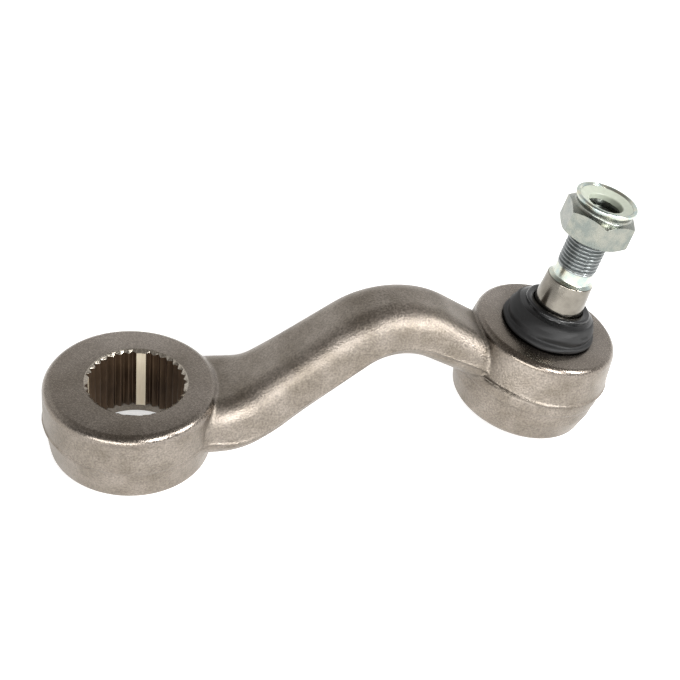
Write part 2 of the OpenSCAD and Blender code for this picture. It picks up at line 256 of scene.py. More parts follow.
def settle(distance, points):
    """Moves points onto the surface where the distance is zero."""
    here = in_turns(distance, points)
    steps = np.eye(3) * nudge
    slope = np.stack([in_turns(distance, points + s) - here for s in steps], axis=1) / nudge
    return points - slope * (here / np.maximum((slope**2).sum(1), 0.25))[:, None]


def solid(name, points, faces):
    """A mesh object from points in millimetres."""
    mesh = bpy.data.meshes.new(name)
    mesh.from_pydata((np.asarray(points) * MM).tolist(), [], [list(map(int, f)) for f in faces])
    made = bpy.data.objects.new(name, mesh)
    bpy.context.scene.collection.objects.link(made)
    return made


# A coarse skin is evened out on the smooth form, cut finer where it bends and laid on the trimmed form
low = arm_low - 2 * forging_cell
high = np.array(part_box("pitman_arm")[1]) / MM + 2 * forging_cell
points, quads = skin(smooth_blank, low, high, forging_cell)
for _ in range(even_passes):
    sums, counts = np.zeros_like(points), np.zeros(len(points))
    for k in range(4):
        np.add.at(sums, quads[:, k], points[quads[:, (k + 1) % 4]])
        np.add.at(counts, quads[:, k], 1)
    points = settle(smooth_blank, sums / counts[:, None])
forging = solid("forged_arm", points, quads)
for least_bend in fine_bends:
    shape = bmesh.new()
    shape.from_mesh(forging.data)
    for edge in shape.edges:
        if edge.calc_face_angle() >= least_bend:
            for face in edge.link_faces:
                face.tag = True
    edges = [edge for edge in shape.edges if any(face.tag for face in edge.link_faces)]
    bmesh.ops.subdivide_edges(shape, edges=edges, cuts=1, use_grid_fill=True)
    shape.to_mesh(forging.data)
    shape.free()
    fine = np.array([v.co for v in forging.data.vertices]) / MM
    for _ in range(settle_passes):
        fine = settle(trimmed_blank, fine)
    forging.data.vertices.foreach_set("co", (fine * MM).ravel())

# Forged arm: the finishes
# Bare steel with a thin film of oil. Shot-blasting leaves a fine peened grain that breaks up the light,
# facing leaves a smoother satin, and the broached serrations stay dark with oil.


def linear(code):
    """The linear colour of an sRGB hex value."""
    parts = [int(code[i:i + 2], 16) / 255 for i in (1, 3, 5)]
    return [c / 12.92 if c <= 0.04045 else ((c + 0.055) / 1.055) ** 2.4 for c in parts] + [1]


def add(tree, kind, links=None, **settings):
    """Adds a shader node with its settings, and its inputs as values or as links."""
    made = tree.nodes.new(kind)
    for name, value in settings.items():
        setattr(made, name, value)
    for name, value in (links or {}).items():
        if isinstance(value, bpy.types.NodeSocket):
            tree.links.new(value, made.inputs[name])
        else:
            made.inputs[name].default_value = value
    return made


def finish_of(name, **sockets):
    """A material whose shader has these values, with its node tree, shader and place in space."""
    made = bpy.data.materials.new(name)
    made.use_nodes = True
    tree = made.node_tree
    shader = tree.nodes["Principled BSDF"]
    for socket, value in sockets.items():
        shader.inputs[socket.replace("_", " ")].default_value = value
    return made, tree, shader, add(tree, "ShaderNodeTexCoord").outputs["Object"]


# Peened grain: dimples of about 0.6 mm, clouds of 9 mm where the oil lies thicker, and painted shade
# that darkens the creases to about 3 mm from their bottom
peen_mm, cloud_mm, crease_shade_mm = 0.6, 9, 3
blasted, tree, shader, place = finish_of("blasted_forged_steel", Metallic=1)
cloud = add(tree, "ShaderNodeTexNoise", {"Vector": place, "Scale": 1 / (cloud_mm * MM), "Detail": 4})
peen = add(tree, "ShaderNodeTexNoise", {"Vector": place, "Scale": 1 / (peen_mm * MM), "Detail": 3})
tone = add(tree, "ShaderNodeMapRange", {
    "Value": cloud.outputs["Fac"], "From Min": 0.35, "From Max": 0.65})
skin_tone = add(tree, "ShaderNodeMix", {
    "Factor": tone.outputs["Result"], "A": linear("#7b7369"), "B": linear("#90887f")}, data_type="RGBA")
pits = add(tree, "ShaderNodeMapRange", {
    "Value": peen.outputs["Fac"], "From Min": 0.3, "From Max": 0.7, "To Min": 0.72, "To Max": 1.28})
# Painted shade: ambient occlusion darkens the colour in the creases
crease = add(tree, "ShaderNodeAmbientOcclusion", {"Distance": crease_shade_mm * MM}, samples=8, only_local=True)
painted_crease_shade = add(tree, "ShaderNodeMapRange", {
    "Value": crease.outputs["AO"], "From Min": 0.55, "From Max": 0.95, "To Min": 0.35, "To Max": 1.0})
shaded = add(tree, "ShaderNodeMath", {
    0: pits.outputs["Result"], 1: painted_crease_shade.outputs["Result"]}, operation="MULTIPLY")
colour = add(tree, "ShaderNodeVectorMath", {
    0: skin_tone.outputs["Result"], "Scale": shaded.outputs["Value"]}, operation="SCALE")
gloss = add(tree, "ShaderNodeMapRange", {
    "Value": peen.outputs["Fac"], "From Min": 0.3, "From Max": 0.7, "To Min": 0.34, "To Max": 0.46})
dimples = add(tree, "ShaderNodeBump", {
    "Height": peen.outputs["Fac"], "Strength": 1.0, "Distance": 0.13 * MM})
tree.links.new(colour.outputs["Vector"], shader.inputs["Base Color"])
tree.links.new(gloss.outputs["Result"], shader.inputs["Roughness"])
tree.links.new(dimples.outputs["Normal"], shader.inputs["Normal"])

# Faced steel: turned flat and then lightly blasted, so it is smoother than the forged skin. Painted
# shade darkens it for some 8 mm around the boot and other nearby parts, and the bevel at the bore takes
# a lighter copy, a painted highlight.
frost_mm, stain_mm, shade_reach_mm = 0.55, 22, 8
faced = []
# The second copy is the same faced steel made lighter: a painted highlight for the bevel at the bore
for name, low_tone, high_tone in (
        ("blasted_turned_steel", "#756d64", "#8b837b"), ("turned_steel_painted_highlight", "#9c9489", "#b8b1a5")):
    steel, tree, shader, place = finish_of(name, Metallic=1)
    frost = add(tree, "ShaderNodeTexNoise", {"Vector": place, "Scale": 1 / (frost_mm * MM), "Detail": 3})
    cloud = add(tree, "ShaderNodeTexNoise", {"Vector": place, "Scale": 1 / (stain_mm * MM), "Detail": 5})
    tone = add(tree, "ShaderNodeMapRange", {
        "Value": cloud.outputs["Fac"], "From Min": 0.35, "From Max": 0.65})
    face_tone = add(tree, "ShaderNodeMix", {
        "Factor": tone.outputs["Result"], "A": linear(low_tone), "B": linear(high_tone)},
        data_type="RGBA")
    specks = add(tree, "ShaderNodeMapRange", {
        "Value": frost.outputs["Fac"], "From Min": 0.3, "From Max": 0.7, "To Min": 0.72, "To Max": 1.28})
    # Painted shade: ambient occlusion from the boot and nearby parts darkens the colour
    corner = add(tree, "ShaderNodeAmbientOcclusion", {"Distance": shade_reach_mm * MM}, samples=8)
    painted_boot_shade = add(tree, "ShaderNodeMapRange", {
        "Value": corner.outputs["AO"], "From Min": 0.5, "From Max": 0.95, "To Min": 0.4, "To Max": 1.0})
    specks_and_shade = add(tree, "ShaderNodeMath", {
        0: specks.outputs["Result"], 1: painted_boot_shade.outputs["Result"]}, operation="MULTIPLY")
    colour = add(tree, "ShaderNodeVectorMath", {
        0: face_tone.outputs["Result"], "Scale": specks_and_shade.outputs["Value"]}, operation="SCALE")
    gloss = add(tree, "ShaderNodeMapRange", {
        "Value": frost.outputs["Fac"], "From Min": 0.3, "From Max": 0.7, "To Min": 0.2, "To Max": 0.3})
    grain = add(tree, "ShaderNodeBump", {
        "Height": frost.outputs["Fac"], "Strength": 0.6, "Distance": 0.07 * MM})
    tree.links.new(colour.outputs["Vector"], shader.inputs["Base Color"])
    tree.links.new(gloss.outputs["Result"], shader.inputs["Roughness"])
    tree.links.new(grain.outputs["Normal"], shader.inputs["Normal"])
    faced.append(steel)
turned_steel, bevel_highlight_steel = faced

# Broached steel: scored along the cut by the broach, every 0.3 mm or so, and brown with old oil
score_mm = 0.3
broached, tree, shader, place = finish_of("oiled_broached_steel", Metallic=0.8)
stretch = add(tree, "ShaderNodeMapping", {"Vector": place, "Scale": (1, 1, 0.06)})
score = add(tree, "ShaderNodeTexNoise", {
    "Vector": stretch.outputs["Vector"], "Scale": 1 / (score_mm * MM), "Detail": 2})
stain = add(tree, "ShaderNodeTexNoise", {"Vector": place, "Scale": 1 / (cloud_mm * MM), "Detail": 3})
colour = add(tree, "ShaderNodeMix", {
    "Factor": stain.outputs["Fac"], "A": linear("#2e2219"), "B": linear("#6b5743")}, data_type="RGBA")
gloss = add(tree, "ShaderNodeMapRange", {
    "Value": score.outputs["Fac"], "To Min": 0.3, "To Max": 0.55})
scores = add(tree, "ShaderNodeBump", {
    "Height": score.outputs["Fac"], "Strength": 0.3, "Distance": 0.05 * MM})
tree.links.new(colour.outputs["Result"], shader.inputs["Base Color"])
tree.links.new(gloss.outputs["Result"], shader.inputs["Roughness"])
tree.links.new(scores.outputs["Normal"], shader.inputs["Normal"])

# Scraped steel: the wide lands guide the shaft; their cream colour is a painted reflection of light from
# below
land_reflection_steel, tree, shader, place = finish_of("land_steel_painted_reflection", Metallic=0.7)
stretch = add(tree, "ShaderNodeMapping", {"Vector": place, "Scale": (1, 1, 0.06)})
score = add(tree, "ShaderNodeTexNoise", {
    "Vector": stretch.outputs["Vector"], "Scale": 1 / (score_mm * MM), "Detail": 2})
# Painted reflection: the cream tones stand in for light reflected up through the bore
colour = add(tree, "ShaderNodeMix", {
    "Factor": score.outputs["Fac"], "A": linear("#e6d6b6"), "B": linear("#fff6e2")}, data_type="RGBA")
gloss = add(tree, "ShaderNodeMapRange", {"Value": score.outputs["Fac"], "To Min": 0.35, "To Max": 0.5})
tree.links.new(colour.outputs["Result"], shader.inputs["Base Color"])
tree.links.new(gloss.outputs["Result"], shader.inputs["Roughness"])

# Forged arm: the machining
# The hub is faced flat on both sides and broached with serrations that leave four wide lands. The socket
# is faced around its mouth, bored from below for the ball seats and swaged over its cover.
ring_steps = 96


def turned(rows, axis_at, angles=None, loop=False):
    """Points and faces of rings about an axis. A row is a height and a radius, and either may be given
    for each angle."""
    if angles is None:
        angles = np.linspace(0, math.tau, ring_steps, endpoint=False)
    points, rings = [], []
    for height, radius in rows:
        centre, u, v = axis_at(height)
        radius = np.broadcast_to(radius, angles.shape)
        if radius.max() == 0:
            rings.append([len(points)] * len(angles))
            points.append(centre)
            continue
        rings.append(list(range(len(points), len(points) + len(angles))))
        around = np.cos(angles)[:, None] * u + np.sin(angles)[:, None] * v
        points.extend(centre + radius[:, None] * around)
    pairs = list(zip(rings, rings[1:] + rings[:1])) if loop else list(zip(rings, rings[1:]))
    faces = []
    for lower, upper in pairs:
        for k in range(len(angles)):
            n = (k + 1) % len(angles)
            corners = [lower[k], lower[n], upper[n], upper[k]]
            faces.append(list(dict.fromkeys(corners)))
    return np.array(points), faces


def arc(centre, radius, start, end, steps=6):
    """Height and radius pairs along an arc of a profile, its angles in degrees from the radius."""
    turns = np.radians(np.linspace(start, end, steps))
    return [(centre[0] + radius * math.sin(t), centre[1] + radius * math.cos(t)) for t in turns]


def cut(target, tool):
    """Machines the tool's shape out of the target and leaves the tool's finish on the cut."""
    step = target.modifiers.new("cut", "BOOLEAN")
    step.operation, step.solver, step.object = "DIFFERENCE", "EXACT", tool
    step.material_mode = "TRANSFER"
    graph = bpy.context.evaluated_depsgraph_get()
    machined = bpy.data.meshes.new_from_object(target.evaluated_get(graph))
    target.modifiers.clear()
    target.data = machined
    bpy.data.objects.remove(tool)


def shade(piece, crease=32):
    """Smooth shading, with edges sharper than the crease angle kept crisp."""
    piece.data.shade_smooth()
    shape = bmesh.new()
    shape.from_mesh(piece.data)
    for edge in shape.edges:
        edge.smooth = edge.is_manifold and edge.calc_face_angle() < math.radians(crease)
    shape.to_mesh(piece.data)
    shape.free()


x_way, y_way, z_way = np.eye(3)


def on_hub(height):
    return np.array([hub_x, 0, height]), x_way, y_way


def on_bore(height):
    return np.array([0, 0, height]), x_way, y_way


def on_socket(height):
    u = np.cross(y_way, socket_axis)
    return ball + height * socket_axis, u, y_way


facing_r, facing_top = 28.5, 18.0
facing = [(hub_half, 0), (hub_half, facing_r), (facing_top, facing_r), (facing_top, 0)]
back_facing = [(-facing_top, 0), (-facing_top, facing_r), (-hub_half, facing_r), (-hub_half, 0)]

bore_r, groove_depth, groove_share, root_share = 14.875, 1.0, 0.86, 0.12
bore_bevel, bore_flare, pitches, lands = 0.9, 0.25, 36, 4
lead_in, lead_flare, lead_runout = 3.4, 0.3, 0.6
land_pitch, land_angle = pitches // lands, math.radians(77)
groove_r = bore_r + groove_depth
tooth = ((-1, bore_r), (-root_share, groove_r), (root_share, groove_r), (1, bore_r))
bore_angles, bore_radii = [], []
for pitch in range(pitches):
    middle = math.tau * pitch / pitches + land_angle
    mouth = math.pi / pitches * groove_share
    plain = pitch % land_pitch == 0
    for share, radius in tooth:
        bore_angles.append(middle + mouth * share)
        bore_radii.append(bore_r if plain else radius)
bore_angles, bore_radii = np.array(bore_angles), np.array(bore_radii)
bevel_slope = bore_bevel / (groove_depth + bore_flare)
bevel_foot = hub_half - bore_bevel
bevel_mid = bevel_foot + groove_depth * bevel_slope
bevel_over = facing_top - bevel_mid
bore = [(-facing_top, 0), (-facing_top, groove_r + lead_flare), (-hub_half, groove_r + lead_flare)]
bore += [(lead_in - hub_half - lead_runout, groove_r), (lead_in - hub_half, bore_radii)]
serrated_row = len(bore) - 1
bore += [(bevel_foot, bore_radii), (bevel_mid, groove_r)]
bore += [(facing_top, groove_r + bevel_over / bevel_slope), (facing_top, 0)]
broach = solid("broach", *turned(bore, on_bore, bore_angles))
bore_finishes = [blasted, broached, land_reflection_steel, bevel_highlight_steel]
for material in bore_finishes:
    broach.data.materials.append(material)
for face in broach.data.polygons:
    row, column = divmod(face.index, len(bore_angles))
    land = min(side // len(tooth) % land_pitch for side in (column, column + 1)) == 0
    wall = land_reflection_steel if land else broached
    # The bevel rows above the serrations take the painted highlight
    finish = wall if row == serrated_row else bevel_highlight_steel if row > serrated_row else blasted
    face.material_index = bore_finishes.index(finish)

mouth_r, roof_r, roof, seat_r = 12.3, 10.9, 8.5, 14.5
cover_r, cover_foot, cover_top, swage_r = 15.3, -15.8, -14.6, 13.5
rim_r, rim_spare = 26.0, 0.4
socket_bore = [(-facing_top, 0), (-facing_top, swage_r), (cover_foot, swage_r), (cover_foot, cover_r)]
socket_bore += [(cover_top, cover_r), (cover_top, seat_r), (roof, seat_r), (roof, roof_r)]
socket_bore += [(socket_face, mouth_r), (socket_face, rim_r), (facing_top, rim_r), (facing_top, 0)]

facing_tool = solid("facing_tool", *turned(facing, on_hub))
facing_tool.data.materials.append(turned_steel)
back_tool = solid("back_facing_tool", *turned(back_facing, on_hub))
back_tool.data.materials.append(turned_steel)
boring_tool = solid("boring_tool", *turned(socket_bore, on_socket))
boring_tool.data.materials.append(turned_steel)
forging.data.materials.append(blasted)
for tool in (facing_tool, back_tool, broach, boring_tool):
    cut(forging, tool)

# The facing cuts run out over the rounded rims, so the rims carry the faced finish as well
middles = np.empty(3 * len(forging.data.polygons))
forging.data.polygons.foreach_get("center", middles)
middles = middles.reshape(-1, 3) / MM
slots = np.empty(len(middles), int)
forging.data.polygons.foreach_get("material_index", slots)
hub_reach = np.hypot(middles[:, 0] - hub_x, middles[:, 1])
hub_rim = (middles[:, 2] > hub_half - hub_edge) & (hub_reach < hub_radii[-1])
rise = (middles - ball) @ socket_axis
socket_reach = np.linalg.norm(middles - ball - rise[:, None] * socket_axis, axis=1)
socket_rim = (rise > socket_face - socket_edge) & (socket_reach < socket_radii[-1] + rim_spare)
skin_slot, turned_slot = (forging.data.materials.find(m.name) for m in (blasted, turned_steel))
slots[(hub_rim | socket_rim) & (slots == skin_slot)] = turned_slot
forging.data.polygons.foreach_set("material_index", slots)
shade(forging)
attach(forging, "arm")
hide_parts("pitman_arm")

# Ball seats and spring
# Two acetal cups hold the ball and a conical spring washer presses them together. They are shut inside
# the socket, so they keep their plain turned forms.
moulded_grain_mm = 0.8
acetal, tree, shader, place = finish_of("moulded_acetal", IOR=1.48, Roughness=0.4)
grain = add(tree, "ShaderNodeTexNoise", {
    "Vector": place, "Scale": 1 / (moulded_grain_mm * MM), "Detail": 2})
colour = add(tree, "ShaderNodeMix", {
    "Factor": grain.outputs["Fac"], "A": linear("#d6cfbc"), "B": linear("#e4decd")}, data_type="RGBA")
tree.links.new(colour.outputs["Result"], shader.inputs["Base Color"])
oiled_spring, tree, shader, place = finish_of("oiled_spring_steel", Metallic=1, Roughness=0.35)
bloom = add(tree, "ShaderNodeTexNoise", {"Vector": place, "Scale": 1 / (cloud_mm * MM), "Detail": 3})
colour = add(tree, "ShaderNodeMix", {
    "Factor": bloom.outputs["Fac"], "A": linear("#43464b"), "B": linear("#6f7276")}, data_type="RGBA")
tree.links.new(colour.outputs["Result"], shader.inputs["Base Color"])
for name, material in (("upper_seat", acetal), ("lower_seat", acetal), ("spring_washer", oiled_spring)):
    frame["nodes"][name].data.materials.clear()
    frame["nodes"][name].data.materials.append(material)

# Cover plate
# A disc pressed from sheet steel, dished outward, that closes the socket from below. The socket's rim is
# swaged over its edge.
dish_r, dish_rim_r, dish_depth, cover_clear = 9.0, 11.5, 0.55, 0.05
edge_r = cover_r - cover_clear
cover_profile = [(cover_foot - dish_depth, 0), (cover_foot - dish_depth, dish_r)]
cover_profile += [(cover_foot, dish_rim_r), (cover_foot, edge_r)]
cover_profile += [(cover_top, edge_r), (cover_top, dish_rim_r)]
cover_profile += [(cover_top - dish_depth, dish_r), (cover_top - dish_depth, 0)]
cover = solid("cover_plate_pressing", *turned(cover_profile, on_socket))
pressed, tree, shader, place = finish_of("pressed_sheet_steel", Metallic=1)
draw_mm = 1.6
drawn = add(tree, "ShaderNodeTexNoise", {"Vector": place, "Scale": 1 / (draw_mm * MM), "Detail": 4})
colour = add(tree, "ShaderNodeMix", {
    "Factor": drawn.outputs["Fac"], "A": linear("#8d8983"), "B": linear("#aaa69f")}, data_type="RGBA")
gloss = add(tree, "ShaderNodeMapRange", {"Value": drawn.outputs["Fac"], "To Min": 0.25, "To Max": 0.5})
dents = add(tree, "ShaderNodeBump", {
    "Height": drawn.outputs["Fac"], "Strength": 0.2, "Distance": 0.05 * MM})
tree.links.new(colour.outputs["Result"], shader.inputs["Base Color"])
tree.links.new(gloss.outputs["Result"], shader.inputs["Roughness"])
tree.links.new(dents.outputs["Normal"], shader.inputs["Normal"])
cover.data.materials.append(pressed)
shade(cover)
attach(cover, "arm")
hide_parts("cover_plate")

# Ball stud
# Forged and turned from alloy steel: a ball, a neck, a ground taper, a plain shank and a rolled thread
# of half an inch with twenty turns to the inch. The shank is zinc plated and the thread phosphated.
stud_axis = unit(np.array(joints["stud_spin"]["axis"]))
stud_u = unit(np.array(joints["stud_swing_side"]["axis"]))
stud_v = np.cross(stud_axis, stud_u)


def on_stud(height):
    return ball + np.multiply.outer(height, stud_axis), stud_u, stud_v


ball_r, neck_r, neck_end, shoulder = 12.7, 6.3, 17.5, 19.5
taper_r, taper_foot, taper_end, taper_ratio = 8.1, 22.6, 32.4, 8
thread_r, thread_foot, stud_end, stud_bevel, pitch_len = 6.35, 36.6, 56.6, 1.2, 1.27
shank_step, shank_start, shank_fillet = 0.3, 0.9, 0.5
taper_round, taper_tuck = 0.5, 0.45
ball_start, ball_steps, bend_steps = -84, 40, 5
thread_share, root_flat, flank_share, thread_steps = 0.61, 0.12, 0.66, 12
shank_r = thread_r - shank_step
thread_depth = thread_share * pitch_len
stud_angles = np.linspace(0, math.tau, ring_steps, endpoint=False)
neck_lift = math.sqrt(ball_r**2 - neck_r**2)
ball_top = math.degrees(math.atan2(neck_lift, neck_r))
taper_end_r = taper_r - (taper_end - taper_foot) / taper_ratio / 2
ball_rows = [(-ball_r, 0)] + arc((0, 0), ball_r, ball_start, ball_top, ball_steps)
ball_rows += [(neck_end, neck_r), (shoulder, taper_r), (taper_foot, taper_r)]
taper_rows = [(taper_foot, taper_r)]
taper_rows += arc((taper_end - taper_round, taper_end_r - taper_tuck), taper_round, 4, 60, bend_steps)
shank_rows = arc((taper_end + shank_start, shank_r + shank_fillet), shank_fillet, 230, 180, bend_steps)
shank_rows += [(thread_foot, shank_r)]
thread_rows = []
for step in range(1, int((stud_end - thread_foot) / pitch_len * thread_steps)):
    height = thread_foot + step * pitch_len / thread_steps
    phase = (height / pitch_len - stud_angles / math.tau) % 1
    valley = np.clip((np.abs(2 * phase - 1) - root_flat) / flank_share, 0, 1)
    crest = min(thread_r, thread_r + (stud_end - stud_bevel - height))
    fade = np.clip((height - thread_foot) / pitch_len, 0, 1)
    radius = crest - thread_depth * (1 - valley) * fade
    thread_rows.append((height, np.minimum(radius, shank_r + (thread_r - shank_r) * fade)))
end_rows = [(stud_end, thread_r - stud_bevel), (stud_end, 0)]
stud_rows = ball_rows + taper_rows + shank_rows + thread_rows + end_rows
stud = solid("ball_stud_turned", *turned(stud_rows, on_stud, stud_angles))

# Ground steel: rings of grinding marks around the taper, about 0.15 mm apart and drawn at 0.4 mm to show
grind_mm, smear_mm = 0.4, 4
to_stud = Matrix.Rotation(math.acos(stud_axis[2]), 3, Vector(np.cross(stud_axis, z_way))).to_euler()
ground, tree, shader, place = finish_of("ground_steel", Metallic=1)
turn = add(tree, "ShaderNodeMapping", {"Vector": place, "Rotation": to_stud})
squeeze = add(tree, "ShaderNodeMapping", {"Vector": turn.outputs["Vector"], "Scale": (0.08, 0.08, 1)})
marks = add(tree, "ShaderNodeTexNoise", {
    "Vector": squeeze.outputs["Vector"], "Scale": 1 / (grind_mm * MM), "Detail": 2})
smear = add(tree, "ShaderNodeTexNoise", {"Vector": place, "Scale": 1 / (smear_mm * MM), "Detail": 3})
colour = add(tree, "ShaderNodeMix", {
    "Factor": smear.outputs["Fac"], "A": linear("#57534b"), "B": linear("#98938a")}, data_type="RGBA")
gloss = add(tree, "ShaderNodeMapRange", {"Value": marks.outputs["Fac"], "To Min": 0.1, "To Max": 0.24})
lines = add(tree, "ShaderNodeBump", {
    "Height": marks.outputs["Fac"], "Strength": 0.12, "Distance": 0.02 * MM})
tree.links.new(colour.outputs["Result"], shader.inputs["Base Color"])
tree.links.new(gloss.outputs["Result"], shader.inputs["Roughness"])
tree.links.new(lines.outputs["Normal"], shader.inputs["Normal"])

# Zinc with a clear passivate: bluish silver with a faint yellow bloom in patches of about 3 mm, and a
# lighter copy of it that is a painted highlight
bloom_mm, speck_mm = 3, 0.5
zincs = []
for name, cool, warm, dullest in (
        ("passivated_zinc_plate", "#7c827d", "#93948b", 0.36),
        ("zinc_plate_painted_highlight", "#b2c0bc", "#d0cfbe", 0.3)):
    plating, tree, shader, place = finish_of(name, Metallic=1)
    bloom = add(tree, "ShaderNodeTexNoise", {"Vector": place, "Scale": 1 / (bloom_mm * MM), "Detail": 3})
    speck = add(tree, "ShaderNodeTexNoise", {"Vector": place, "Scale": 1 / (speck_mm * MM), "Detail": 2})
    hue = add(tree, "ShaderNodeMapRange", {
        "Value": bloom.outputs["Fac"], "From Min": 0.35, "From Max": 0.65})
    colour = add(tree, "ShaderNodeMix", {
        "Factor": hue.outputs["Result"], "A": linear(cool), "B": linear(warm)}, data_type="RGBA")
    gloss = add(tree, "ShaderNodeMapRange", {
        "Value": speck.outputs["Fac"], "To Min": 0.2, "To Max": dullest})
    pits = add(tree, "ShaderNodeBump", {
        "Height": speck.outputs["Fac"], "Strength": 0.15, "Distance": 0.03 * MM})
    tree.links.new(colour.outputs["Result"], shader.inputs["Base Color"])
    tree.links.new(gloss.outputs["Result"], shader.inputs["Roughness"])
    tree.links.new(pits.outputs["Normal"], shader.inputs["Normal"])
    zincs.append(plating)
zinc, zinc_painted_highlight = zincs

# Rolled thread: phosphated grey, lighter in patches of about 0.8 mm where handling has rubbed it
flank_mm = 0.8
rolled, tree, shader, place = finish_of("phosphated_rolled_thread", Metallic=1)
wear = add(tree, "ShaderNodeTexNoise", {"Vector": place, "Scale": 1 / (flank_mm * MM), "Detail": 3})
colour = add(tree, "ShaderNodeMix", {
    "Factor": wear.outputs["Fac"], "A": linear("#6a6e6e"), "B": linear("#a6aaaa")}, data_type="RGBA")
gloss = add(tree, "ShaderNodeMapRange", {"Value": wear.outputs["Fac"], "To Min": 0.22, "To Max": 0.4})
tree.links.new(colour.outputs["Result"], shader.inputs["Base Color"])
tree.links.new(gloss.outputs["Result"], shader.inputs["Roughness"])

# The shank takes the lighter zinc, a painted highlight
for material in (ground, zinc_painted_highlight, rolled):
    stud.data.materials.append(material)
for face in stud.data.polygons:
    height = (np.array(face.center) / MM - ball) @ stud_axis
    face.material_index = 0 if height < taper_end else 1 if height < thread_foot else 2
shade(stud, 40)
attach(stud, "stud")
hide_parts("ball_stud")

# Dust boot
# A black rubber bellows moulded in one piece. Its bead sits on the socket, its wall bulges over a
# groove, and its lip grips the stud. It is shown in three parts, and only the lip is attached to a
# body, so that it can follow the swing.
boot_foot, boot_fold, boot_neck, boot_top = 14.1, 18.7, 20.4, 22.6
bead, bead_round = (14.95, 14.4), 0.8
groove, groove_round = (16.25, 14.5), 0.5
bulge, bulge_round = (17.5, 13.3), 1.0
lip, lip_round = (21.85, 10.0), 0.75
fold_out, fold_in, neck_out_r, neck_in_r, grip_r = 13.75, 12.0, 12.4, 10.4, 8.2
sag, ripple = 0.14, 0.09


def on_boot(height):
    share = np.clip((height - boot_foot) / (boot_neck - boot_foot), 0, 1)
    share = share * share * (3 - 2 * share)
    axis = unit((1 - share) * socket_axis + share * stud_axis)
    u = unit(stud_u - (stud_u @ axis) * axis)
    return ball + height * axis, u, np.cross(axis, u)


def slack(rows):
    """The rubber's rings, pulled a little out of round."""
    return [
        (h, r + sag * np.sin(3 * boot_angles + h) + ripple * np.sin(7 * boot_angles - 2 * h))
        for h, r in rows]


boot_angles = np.linspace(0, math.tau, 128, endpoint=False)
body_rows = [(boot_foot, 14.5)] + arc(bead, bead_round, -55, 75, 8)
body_rows += arc(groove, groove_round, 225, 135, 5)
body_rows += arc(bulge, bulge_round, -30, 30, 6) + [(boot_fold, fold_out)]
body_rows += [(boot_fold, fold_in), (17.0, 12.4), (boot_foot, 12.6)]
neck_rows = [(boot_fold, fold_out), (19.3, 13.45), (19.9, 13.0), (boot_neck, neck_out_r)]
neck_rows += [(boot_neck, neck_in_r), (19.4, 11.4), (boot_fold, fold_in)]
lip_rows = [(boot_neck, neck_out_r), (20.8, 11.8), (21.1, 11.2), (21.25, 10.75)]
lip_rows = slack(lip_rows + arc(lip, lip_round, -20, 88, 10))
lip_rows += [(boot_top - 0.15, 8.6), (boot_top - 0.7, grip_r), (boot_neck, grip_r)]
boot_body = solid("dust_boot_body", *turned(slack(body_rows), on_boot, boot_angles, loop=True))
boot_neck_part = solid("dust_boot_neck", *turned(slack(neck_rows), on_boot, boot_angles, loop=True))
boot_lip = solid("dust_boot_lip", *turned(lip_rows, on_boot, boot_angles, loop=True))

# Moulded rubber: a soft sheen, the fine grain of the mould and a dusty bloom, sleeker where the lip is
# stretched around the stud
mould_mm, dust_mm = 0.45, 5
rubbers = []
for name, sleek, dull in (("moulded_black_rubber", 0.45, 0.7), ("stretched_black_rubber", 0.18, 0.34)):
    rubber, tree, shader, place = finish_of(name, IOR=1.52, Specular_IOR_Level=0.4)
    grain = add(tree, "ShaderNodeTexNoise", {"Vector": place, "Scale": 1 / (mould_mm * MM), "Detail": 3})
    dust = add(tree, "ShaderNodeTexNoise", {"Vector": place, "Scale": 1 / (dust_mm * MM), "Detail": 4})
    colour = add(tree, "ShaderNodeMix", {
        "Factor": dust.outputs["Fac"], "A": linear("#090909"), "B": linear("#151516")}, data_type="RGBA")
    gloss = add(tree, "ShaderNodeMapRange", {
        "Value": dust.outputs["Fac"], "To Min": sleek, "To Max": dull})
    bumps = add(tree, "ShaderNodeBump", {
        "Height": grain.outputs["Fac"], "Strength": 0.25, "Distance": 0.05 * MM})
    tree.links.new(colour.outputs["Result"], shader.inputs["Base Color"])
    tree.links.new(gloss.outputs["Result"], shader.inputs["Roughness"])
    tree.links.new(bumps.outputs["Normal"], shader.inputs["Normal"])
    rubbers.append(rubber)
for part in (boot_body, boot_neck_part, boot_lip):
    part.data.materials.append(rubbers[part is boot_lip])
    shade(part, 50)
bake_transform(boot_body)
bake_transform(boot_neck_part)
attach(boot_lip, "boot_top")
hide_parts("dust_boot")
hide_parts("dust_boot")
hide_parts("boot_lip")

# Lock nut
# A hexagon nut cold-formed in steel and zinc plated, its corners bevelled. Its collar is crimped inward
# over a nylon ring that grips the thread.
nut_foot, nut_shoulder, nut_top = 49.0, 58.0, 62.0
flat_r, land_r, bevel, turn_deg, hole_r = 10.3, 10.0, math.tan(math.radians(30)), 18, 6.45
insert_r, insert_foot, insert_gap = 8.7, 58.5, 0.05
hole_bevel, collar_r, collar_fillet, bright_from = 0.5, 9.75, 0.9, 2.4
crimp, crimp_round = (nut_top - 0.75, 9.55), 0.65
worn_edge, worn_angle = 0.22, 28
side_steps = 16
half_side = math.pi / 6
side_angles = np.linspace(-half_side, half_side, side_steps, endpoint=False)
first_side = math.radians(turn_deg) + half_side
nut_angles = np.concatenate([first_side + k * math.pi / 3 + side_angles for k in range(6)])
hex_r = np.tile(flat_r / np.cos(side_angles), 6)
bevel_drop = (hex_r - land_r) * bevel
nut_rows = [(nut_foot, hole_r + hole_bevel), (nut_foot, land_r), (nut_foot + bevel_drop, hex_r)]
nut_rows += [(nut_shoulder - bevel_drop, hex_r), (nut_shoulder, land_r - 0.1)]
nut_rows += arc((nut_shoulder + collar_fillet, land_r + 0.1), collar_fillet, 260, 150, 8)
